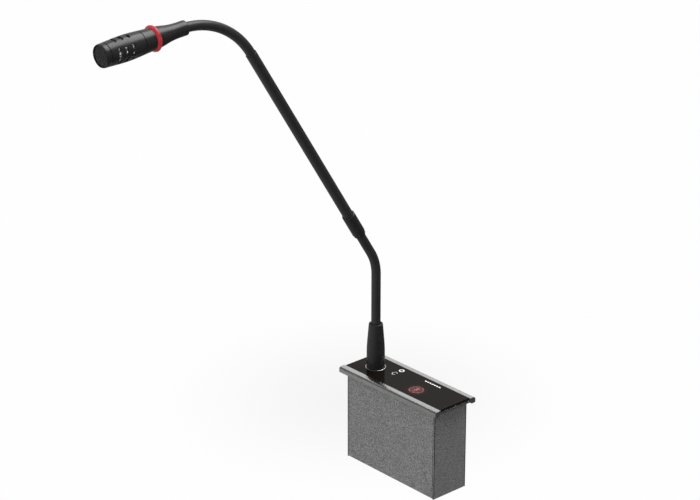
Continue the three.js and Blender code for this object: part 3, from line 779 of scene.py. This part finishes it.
def key_symbol(height):
    """A broken ring round a plain microphone sign, a hair above the key's face."""
    bottom = height - 0.1
    top = height + 0.02
    centre = (key_middle.x, key_middle.y)
    ring_inner, ring_outer = 5.35, 5.85
    arcs = 4
    opening = 22
    span = 360 / arcs
    parts = [
        band_mesh(centre, ring_inner, ring_outer, i * span + opening / 2, (i + 1) * span - opening / 2,
                  bottom, top, 16)
        for i in range(arcs)
    ]
    body_radius = 1.05
    body_low, body_high = centre[1] + 0.3, centre[1] + 2.6  # middles of the body's round ends
    upper = arc_points((centre[0], body_high), body_radius, 0, 180)
    lower = arc_points((centre[0], body_low), body_radius, 180, 360)
    parts.append(plate_mesh(upper + lower, bottom, top))
    cradle_inner, cradle_outer = 1.7, 2.15
    parts.append(band_mesh((centre[0], body_low), cradle_inner, cradle_outer, 180, 360, bottom, top, 20))
    stem_half, stem_low, stem_high = 0.22, centre[1] - 3.1, centre[1] - 1.85
    foot_half, foot_low, foot_high = 1.5, centre[1] - 3.6, centre[1] - 3.15
    for half, low, high in ((stem_half, stem_low, stem_high), (foot_half, foot_low, foot_high)):
        parts.append(box_mesh((centre[0] - half, low, bottom), (centre[0] + half, high, top)))
    return joined(parts)


# ------------------------------------------------------------------ lock sleeve and neck

def smooth_profile(points, steps=8):
    """A Catmull-Rom curve through (radius, distance) points."""
    knots = [Vector(point) for point in points]
    ends = [knots[0] * 2 - knots[1], *knots, knots[-1] * 2 - knots[-2]]
    outline = []
    for a, b, c, d in zip(ends, ends[1:], ends[2:], ends[3:]):
        for step in range(steps):
            t = step / steps
            outline.append(0.5 * ((2 * b) + (c - a) * t + (2 * a - 5 * b + 4 * c - d) * t ** 2
                                  + (3 * b - a - 3 * c + d) * t ** 3))
    return [tuple(point) for point in (*outline, knots[-1])]


def plain(points):
    """Profile points that rounded() leaves sharp."""
    return [(*point, 0) for point in points]


def add_lock_sleeve():
    """The tapered boot: round at the foot, narrowing to a soft lip round the neck."""
    foot, top = neck_axis.span("lock_sleeve")
    bore, wide = neck_axis.reach("lock_sleeve")
    barrel_top = neck_axis.span("plug_barrel")[1]
    barrel_bore = neck_axis.reach("plug_insert")[1] + 0.45
    barrel_room = neck_axis.reach("plug_barrel")[1] + 0.3
    shoulder = panel_top + 2
    taper = smooth_profile([(wide, foot + 11), (wide - 0.06, foot + 16), (wide - 0.35, foot + 21.4),
                            (wide - 0.97, foot + 29.4), (wide - 1.45, foot + 35.2)])
    profile = rounded([
        (barrel_room, foot, 0.1),
        (wide, foot, 0.35),
        *plain(taper),
        (wide - 1.7, top, 0.6),
        (bore + 0.45, top, 0.4),
        (bore, top - 1.6, 0),
        (bore, barrel_top + 1, 0),
        (barrel_bore, barrel_top + 0.5, 0),
        (barrel_bore, shoulder + 0.4, 0),
        (barrel_room, shoulder, 0),
    ])
    turned("lock_boot", neck_axis, profile, "black_anodised", "lock_sleeve", "lock_sleeve")


def line_points(start, end):
    steps = max(1, round((end - start).length / POINT_GAP))
    return [start.lerp(end, i / steps) for i in range(steps + 1)]


def bend_points(start, direction, radius, turn):
    """An arc in the neck's plane from a point, starting along a direction, turning towards -Y."""
    steps = max(2, round(radius * turn / POINT_GAP))
    inward = Matrix.Rotation(math.pi / 2, 3, "X") @ direction
    points = []
    for i in range(steps + 1):
        angle = turn * i / steps
        offset = direction * math.sin(angle) + inward * (1 - math.cos(angle))
        points.append(start + offset * radius)
    return points


POINT_GAP = 1.2  # between the points of a flexible part's centre line
LOWER_BEND_RADIUS = 38
LOWER_HINGES = ("neck_pitch", "neck_side", "neck_pitch_2", "neck_side_2", "neck_pitch_3")
UPPER_HINGES = ("head_pitch", "head_side", "head_pitch_2", "head_side_2", "head_pitch_3")
SPIGOT = 6  # how far a flexible part runs into its neighbours


def lower_line():
    """Up from the plug, round the lower bend and into the joint collar."""
    foot = neck_axis.at(low_high("lower_flex_1")[0].z)
    corner = tube_axis.at(-tube_axis.origin.y / tube_axis.z.y)
    turn = math.acos(tube_axis.z.z)
    tangent = LOWER_BEND_RADIUS * math.tan(turn / 2)
    bend_start = corner - neck_axis.z * tangent
    bend_end = corner + tube_axis.z * tangent
    last = tube_axis.at(tube_axis.span("joint_collar")[0] + SPIGOT)
    return [
        *line_points(foot, bend_start)[:-1],
        *bend_points(bend_start, neck_axis.z, LOWER_BEND_RADIUS, turn)[:-1],
        *line_points(bend_end, last),
    ]


def upper_line():
    """Out of the rigid tube, over the upper bend and into the head's sleeve."""
    start = tube_axis.at(tube_axis.span("rigid_tube")[1])
    inward = Matrix.Rotation(math.pi / 2, 3, "X") @ tube_axis.z
    chord = hinge_point(UPPER_HINGES[-1]) - start
    radius = chord.length_squared / (2 * chord.dot(inward))
    last_hinge_share = 0.9
    turn = 2 * math.asin(chord.length / (2 * radius)) / last_hinge_share
    arc = bend_points(start, tube_axis.z, radius, turn)
    tail = head_axis.at(head_axis.span("head_sleeve")[0] + 3.5)
    return [
        *line_points(start - tube_axis.z * SPIGOT, start)[:-1],
        *arc,
        *line_points(arc[-1], tail)[1:],
    ]


def nearest(line, place):
    return min(range(len(line)), key=lambda i: (line[i] - place).length)


def skin_ends(line, hinges):
    """Indices half way between neighbouring hinges, with both ends of the line."""
    places = [nearest(line, hinge_point(hinge)) for hinge in hinges]
    middles = [(a + b) // 2 for a, b in zip(places, places[1:])]
    return [0, *middles, len(line) - 1]


def add_flexible_part(name, line, hinges, radius):
    """One flexible part as a run of skins, each reaching across one hinge of the chain."""
    ends = skin_ends(line, hinges)
    for i, (start, end) in enumerate(zip(ends, ends[1:])):
        points = line[start:end + 1]
        skin = show(f"{name}_skin_{i + 1}", swept_mesh(points, radius, 48, neck_axis.x), "neck_rubber")
        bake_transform(skin)
        nodes = [f"{name}_{i + 2}"]
        if i == 0:
            nodes.append(f"{name}_1")
        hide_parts(*nodes)


def add_neck():
    flex_radius = neck_axis.reach("lower_flex_1")[1]
    add_flexible_part("lower_flex", lower_line(), LOWER_HINGES, flex_radius)
    add_flexible_part("upper_flex", upper_line(), UPPER_HINGES, flex_radius)
    add_joint_collar(flex_radius)
    add_rigid_tube()


def add_joint_collar(flex_radius):
    """The stepped collar between the lower flexible part and the rigid tube."""
    start, end = tube_axis.span("joint_collar")
    outer = tube_axis.reach("joint_collar")[1]
    tube = tube_axis.reach("rigid_tube")[1]
    step = SPIGOT + 0.6
    profile = rounded([
        (flex_radius + 0.25, start, 0.1),
        (outer - 0.4, start, 0.3),
        (outer - 0.4, start + 1.9, 0.1),
        (outer, start + 2.4, 0.25),
        (outer, end - 0.4, 0.9),
        (tube + 0.25, end, 0.15),
        (tube + 0.25, start + step, 0),
        (flex_radius + 0.25, start + step, 0),
    ])
    turned("neck_collar", tube_axis, profile, "black_anodised", "arm", "joint_collar")


def add_rigid_tube():
    start, end = tube_axis.span("rigid_tube")
    bore, outer = tube_axis.reach("rigid_tube")
    shaft = [(outer, start + (end - start) * i / 60, 0) for i in range(1, 60)]
    profile = rounded([(bore, start, 0), (outer, start, 0), *shaft, (outer, end, 0.45), (bore, end, 0)])
    turned("neck_tube", tube_axis, profile, "black_enamel", "arm", "rigid_tube", 96)


# ------------------------------------------------------------------ head

RING_START, RING_END = head_axis.span("light_ring")
CAP_FRONT = head_axis.span("front_cap")[1]
BORE = head_axis.reach("capsule_housing")[0]
SLOT_WIDTH = 2.4
SLOT_SPAN = 91  # of each third of the barrel that a row of slots covers
SLOT_BRIDGE = 9  # metal between two slots of a row
FIRST_THIRD = -12.5  # the middle of the first third, from x towards y
SLOT_ROWS = ((11.7, 1), (17.4, 2), (23.4, 3))  # distance behind the front, and slots in each third
SLOT_STEPS = 24  # points along each long side of a slot
END_POINTS = 7  # points round each end of a slot


def head_radius(distance):
    """The outside of the head in front of the light ring: a gentle swell."""
    share = (distance - RING_END) / (CAP_FRONT - RING_END)
    narrow, gain, swell = 8.3, 0.4, 1.03
    return narrow + gain * share + swell * max(0, math.sin(math.pi * share)) ** 1.5


def head_profile(start, end, steps):
    places = [start + (end - start) * i / steps for i in range(steps + 1)]
    return [(head_radius(place), place) for place in places]


def head_piece(name, profile, slot, node, sides=SMOOTH):
    turned(name, head_axis, profile, slot, "head", node, sides)


def add_head_sleeve():
    """The flared tail between the neck and the light ring."""
    start, end = head_axis.span("head_sleeve")
    tail = 5.65
    mouth = 4.5
    bore = 2.6
    lamp_room, spigot_room = 7.2, 4.8  # inside radii round the lamp board and the collar's spigot
    flare = smooth_profile([
        (tail, end - 23),
        (tail, end - 19.4),
        (tail + 0.15, end - 15.9),
        (tail + 0.5, end - 12.4),
        (tail + 1.05, end - 8.9),
        (tail + 1.7, end - 5.6),
        (tail + 2.5, end - 0.4),
    ], 5)
    profile = rounded([
        (mouth, start, 0.2),
        (tail, start, 0.4),
        *plain(flare),
        (tail + 2.6, end, 0.15),
        (lamp_room, end, 0),
        (lamp_room, end - 2.55, 0),
        (spigot_room, end - 2.55, 0),
        (spigot_room, end - 9.45, 0),
        (bore, end - 11.45, 0),
        (bore, start + 6.1, 0),
        (mouth - 0.4, start + 4.1, 0),
    ])
    head_piece("head_tail", profile, "black_anodised", "head_sleeve")


def add_light_ring():
    inner, outer = head_axis.reach("light_ring")
    crown = (RING_END - RING_START) / 2
    profile = [
        (inner, RING_START),
        *[(outer - crown + crown * math.cos(t), (RING_START + RING_END) / 2 + crown * math.sin(t))
          for t in [math.pi * (i / 24 - 0.5) for i in range(25)]],
        (inner, RING_END),
    ]
    head_piece("red_ring", profile, "ring_red", "light_ring", 160)


def add_head_collar():
    """The plain round part in front of the light ring, with its spigot inside the barrel."""
    back, front = head_axis.span("head_collar")
    seam = head_axis.span("capsule_housing")[0] - 0.35
    start = RING_END + 0.15
    floor = front - 10.1
    bore, spigot = 2.4, 4.5  # the lead's hole, and the tail's spigot round it
    cup, cup_outside = 6.2, 7.2  # the cup that holds the capsule's holder
    profile = rounded([
        (bore, back, 0),
        (spigot, back, 0),
        (spigot, start, 0),
        (head_radius(start), start, 0.15),
        *plain(head_profile(start + 0.6, seam - 0.5, 12)),
        (head_radius(seam), seam, 0.2),
        (cup_outside, seam, 0),
        (cup_outside, front, 0),
        (cup, front, 0),
        (cup, floor, 0),
        (bore, floor, 0),
    ])
    head_piece("head_ring_collar", profile, "black_anodised", "head_collar")


def slot_tool(at, start, end):
    """A curved cutter with round ends, for one slot between two angles in degrees."""
    near = BORE - ABOVE
    far = head_radius(at) + ABOVE
    half = SLOT_WIDTH / 2
    end_turn = math.degrees(half / head_radius(at))
    straight = end - start - 2 * end_turn
    round_steps = [math.pi * i / (END_POINTS + 1) for i in range(1, END_POINTS + 1)]
    loop = [(start + end_turn + straight * i / SLOT_STEPS, half) for i in range(SLOT_STEPS + 1)]
    loop += [(end - end_turn + end_turn * math.sin(t), half * math.cos(t)) for t in round_steps]
    loop += [(end - end_turn - straight * i / SLOT_STEPS, -half) for i in range(SLOT_STEPS + 1)]
    loop += [(start + end_turn - end_turn * math.sin(t), -half * math.cos(t)) for t in round_steps]
    count = len(loop)
    vertices = []
    for radius in (near, far):
        vertices += [head_axis.round_at(radius, math.radians(turn), at + along) for turn, along in loop]
    return vertices, tube_faces(2, count) + slot_caps(count)


def slot_caps(count):
    """Faces that close a slot cutter's inside and outside, strip by strip."""
    faces = []
    side = SLOT_STEPS + 1
    for shift in (0, count):
        upper = list(range(shift, shift + side))
        right = list(range(shift + side, shift + side + END_POINTS))
        lower = list(range(shift + side + END_POINTS, shift + 2 * side + END_POINTS))
        left = list(range(shift + 2 * side + END_POINTS, shift + count))
        lower_back = lower[::-1]
        for a, b, c, d in zip(upper, upper[1:], lower_back[1:], lower_back):
            faces.append((a, b, c, d))
        faces.append((upper[-1], *right, lower[0]))
        faces.append((lower[-1], *left, upper[0]))
    return faces


def slot_tools():
    tools = []
    for third in range(3):
        for behind_front, count in SLOT_ROWS:
            width = (SLOT_SPAN - SLOT_BRIDGE * (count - 1)) / count
            first = FIRST_THIRD + 120 * third - SLOT_SPAN / 2
            for i in range(count):
                start = first + i * (width + SLOT_BRIDGE)
                tools.append(slot_tool(CAP_FRONT - behind_front, start, start + width))
    return joined(tools)


def add_capsule_housing():
    """The barrel, with three rows of sound slots."""
    back, front = head_axis.span("capsule_housing")
    edge = 0.25
    profile = rounded([
        (BORE, back, 0),
        (head_radius(back), back, edge),
        *plain(head_profile(back + 0.6, front - 0.6, 48)),
        (head_radius(front), front, edge),
        (BORE, front, 0),
    ])
    barrel = show("slotted_barrel", turned_mesh(head_axis, profile, 180), "black_anodised")
    cut(barrel, slot_tools())
    add_bevel(barrel, 0.14, 2)
    bake(barrel)
    put_on(barrel, "head", "capsule_housing")


def add_front_cap():
    start, front = head_axis.span("front_cap")
    inner = head_axis.reach("front_cap")[0]
    skirt = head_axis.reach("slot_screen")[1]
    mouth = head_axis.reach("front_grille")[1] + 0.2
    step = head_axis.span("capsule_housing")[1] + 0.35
    profile = rounded([
        (inner, start, 0),
        (skirt, start, 0),
        (skirt, step, 0),
        (head_radius(step), step, 0.2),
        (head_radius(front - 1.0), front - 1.0, 0.5),
        (mouth + 0.5, front, 0.35),
        (mouth, front, 0.15),
        (mouth, front - 2, 0),
        (inner, front - 2.4, 0),
    ])
    head_piece("front_rim", profile, "black_anodised", "front_cap")


def woven(place, first, second, wire, pitch, sides=6):
    """Two sets of wires that pass over and under each other.

    place(u, v, lift) is a point of the net, or None where there is no net.
    first and second are (from, to) in u and v."""
    parts = []
    for swap in (False, True):
        across, along = (second, first) if not swap else (first, second)
        count = round((across[1] - across[0]) / pitch)
        for i in range(count + 1):
            fixed = across[0] + pitch * i
            run = wire_run(place, fixed, along, swap, i, wire, pitch)
            if len(run) > 3:
                parts.append(swept_mesh(run, wire, sides))
    return joined(parts)


def wire_run(place, fixed, along, swap, number, wire, pitch):
    """The points of one wire of a net."""
    points = []
    quarter = pitch / 4
    steps = round((along[1] - along[0]) / quarter)
    for k in range(steps + 1):
        moving = along[0] + quarter * k
        phase = math.pi * (moving - along[0]) / pitch + math.pi * number + (math.pi if swap else 0)
        lift = wire * 0.95 * math.cos(phase)
        point = place(fixed, moving, lift) if swap else place(moving, fixed, lift)
        if point is not None:
            points.append(point)
    return points


def add_front_grille():
    """Fine woven mesh over the mouth, slightly domed, with dark cloth behind it."""
    back, front = head_axis.span("front_grille")
    rim = head_axis.reach("front_grille")[1]
    wire = 0.24
    pitch = 1.45
    dome = 0.4

    def place(u, v, lift):
        away = math.hypot(u, v)
        if away > rim - wire:
            return None
        height = front - 2 * wire - dome * (away / rim) ** 2 + lift
        return head_axis.at(height) + head_axis.x * u + head_axis.y * v

    reach = (-pitch * round(rim / pitch), pitch * round(rim / pitch))
    net = show("grille_net", woven(place, reach, reach, wire, pitch), "grille_mesh")
    put_on(net, "head", "front_grille")
    cloth_top = front - dome - 0.55
    profile = rounded([
        (0, back, 0),
        (rim, back, 0),
        (rim, cloth_top, 0.1),
        (rim * 0.6, cloth_top + 0.2, 0.3),
        (0, cloth_top + 0.3, 0),
    ])
    turned("grille_cloth", head_axis, profile, "holder_rubber", "head")


def add_slot_screen():
    """The woven metal screen that shows through the barrel's slots."""
    back, front = head_axis.span("slot_screen")
    radius = sum(head_axis.reach("slot_screen")) / 2
    wire = 0.15
    turns = 48
    pitch = 2 * math.pi * radius / turns

    def place(u, v, lift):
        return head_axis.round_at(radius + lift, u / radius, v)

    around = (0, 2 * math.pi * radius)
    along = (back + 0.2, back + 0.2 + pitch * math.floor((front - back - 0.4) / pitch))
    net = show("screen_net", woven(place, around, along, wire, pitch, 5), "screen_mesh")
    put_on(net, "head", "slot_screen")
    inner, outer = radius - 0.4, radius - 0.28
    cloth_shape = [(inner, back), (outer, back), (outer, front), (inner, front)]
    turned("screen_cloth", head_axis, cloth_shape, "holder_rubber", "head", sides=96)


def add_head():
    add_head_sleeve()
    add_light_ring()
    add_head_collar()
    add_capsule_housing()
    add_front_cap()
    add_front_grille()
    add_slot_screen()


# ------------------------------------------------------------------ stage, light and camera

def surroundings(shading, seen, matt, shiny):
    """A brightness that differs for the camera, for matt surfaces and for shiny ones."""
    path = shading.node("ShaderNodeLightPath")
    mirrored = shading.between(path.outputs["Is Glossy Ray"], matt, shiny, 0, 1)
    return shading.between(path.outputs["Is Camera Ray"], mirrored, seen, 0, 1)


FLOOR_WHITE = 0.991
FLOOR_TO_MATT = 0.36
FLOOR_TO_SHINY = (0.03, 0.42)  # mirrored in upright pieces: the floor on the right, and on the left
LEFT = Vector((-0.67, -0.74, 0))
LEFT_REACH = (-150, 420)  # where the floor's tone starts and ends changing, along LEFT
SHADE_MIDDLE = Vector((-122, 68, 0))  # the floor is faintly darker round this point, behind the housing
SHADE_REACH = 195
SHADE_DEPTH = 0.085


def floor_material():
    """White studio floor with a faint soft shade behind the housing. It can't be seen from below."""
    material = bpy.data.materials.new("studio_floor")
    material.use_nodes = True
    made = Shading(material.node_tree)
    made.tree.nodes.clear()
    ground = made.node("ShaderNodeNewGeometry")
    away = made.vector_math("DISTANCE", ground.outputs["Position"], SHADE_MIDDLE * MM)
    seen = made.between(away, FLOOR_WHITE - SHADE_DEPTH, FLOOR_WHITE, 0, SHADE_REACH * MM)
    leftward = made.vector_math("DOT_PRODUCT", ground.outputs["Position"], LEFT)
    shiny = made.between(leftward, *FLOOR_TO_SHINY, LEFT_REACH[0] * MM, LEFT_REACH[1] * MM)
    glow = made.node("ShaderNodeEmission")
    made.feed(surroundings(made, seen, FLOOR_TO_MATT, shiny), glow.inputs["Color"])
    clear = made.node("ShaderNodeBsdfTransparent")
    mix = made.node("ShaderNodeMixShader")
    made.feed(ground.outputs["Backfacing"], mix.inputs["Fac"])
    made.feed(glow.outputs["Emission"], mix.inputs[1])
    made.feed(clear.outputs["BSDF"], mix.inputs[2])
    made.feed(mix.outputs["Shader"], made.node("ShaderNodeOutputMaterial").inputs["Surface"])
    return material


def add_floor():
    reach = 40  # metres, well beyond any view
    below_the_housing = 0.0002  # metres
    mesh = bpy.data.meshes.new("studio_floor")
    height = cad_box[0].z - below_the_housing
    corners = [(x * reach, y * reach, height) for x, y in ((-1, -1), (1, -1), (1, 1), (-1, 1))]
    mesh.from_pydata(corners, [], [(0, 1, 2, 3)])
    mesh.materials.append(floor_material())
    floor = bpy.data.objects.new("studio_floor", mesh)
    bpy.context.scene.collection.objects.link(floor)


# Soft areas of the studio: the direction they lie in, the angles inside which they are full and
# outside which they are dark, and their brightness.
SOFT_LIGHTS = (
    ((0.06, 0.53, 0.85), 13, 32, 5.2),
    ((-0.69, 0.62, 0.39), 18, 42, 0.45),
)
FRONT_FILL = ((-0.45, -0.87, 0.2), 25, 75, 1.12)  # polarised, so that shiny surfaces don't mirror it
AMBIENT = 0.1


def soft_area(made, direction, area, total):
    """Adds a soft area's light to what has been added up so far."""
    towards, inner, outer, strength = area
    aim = made.vector_math("DOT_PRODUCT", direction, Vector(towards).normalized())
    full, none = math.cos(math.radians(inner)), math.cos(math.radians(outer))
    return made.math("ADD", made.between(aim, 0, strength, none, full), total)


def add_world():
    """A white surround to the camera; soft lights and a dim room to everything else."""
    world = bpy.data.worlds.new("studio")
    bpy.context.scene.world = world
    world.use_nodes = True
    made = Shading(world.node_tree)
    made.tree.nodes.clear()
    direction = made.node("ShaderNodeTexCoord").outputs["Generated"]
    shiny = AMBIENT
    for area in SOFT_LIGHTS:
        shiny = soft_area(made, direction, area, shiny)
    matt = soft_area(made, direction, FRONT_FILL, shiny)
    surround = made.node("ShaderNodeBackground")
    made.feed(surroundings(made, FLOOR_WHITE, matt, shiny), surround.inputs["Color"])
    made.feed(surround.outputs["Background"], made.node("ShaderNodeOutputWorld").inputs["Surface"])


CAMERA_AZIMUTH = 48.08
CAMERA_ELEVATION = 22.69
CAMERA_DISTANCE = 1910.6  # from the top of the panel, along the view
CAMERA_SHIFT = (-45.12, 104.99)  # to the right and up from there
CAMERA_LENS = 122.86  # for a sensor 36 wide


def add_camera():
    """Seen from the right and above, with a long lens."""
    turn = math.radians(CAMERA_AZIMUTH)
    tilt = math.radians(CAMERA_ELEVATION)
    back = Vector((math.sin(turn) * math.cos(tilt), -math.cos(turn) * math.cos(tilt), math.sin(tilt)))
    right = Vector((math.cos(turn), math.sin(turn), 0))
    up = back.cross(right)
    place = Vector((0, 0, panel_top)) + back * CAMERA_DISTANCE
    place += right * CAMERA_SHIFT[0] + up * CAMERA_SHIFT[1]
    data = bpy.data.cameras.new("camera")
    data.sensor_width = 36
    data.lens = CAMERA_LENS
    data.clip_end = 100
    camera = bpy.data.objects.new("camera", data)
    pose = Matrix((right, up, back)).transposed().to_4x4()
    pose.translation = place * MM
    camera.matrix_world = pose
    bpy.context.scene.collection.objects.link(camera)
    bpy.context.scene.camera = camera


# ------------------------------------------------------------------ the whole scene

for housing_node in HOUSING_NODES:
    keep_node(housing_node, 0.3, 3)
keep_node("top_frame", 0.22, 3)
for inner_node in INNER_NODES:
    keep_node(inner_node, 0.08)
add_glass()
add_marks()
add_trim_ring()
add_key()
add_lock_sleeve()
add_neck()
add_head()
add_floor()
add_world()
add_camera()
bpy.context.scene.view_settings.view_transform = "Standard"
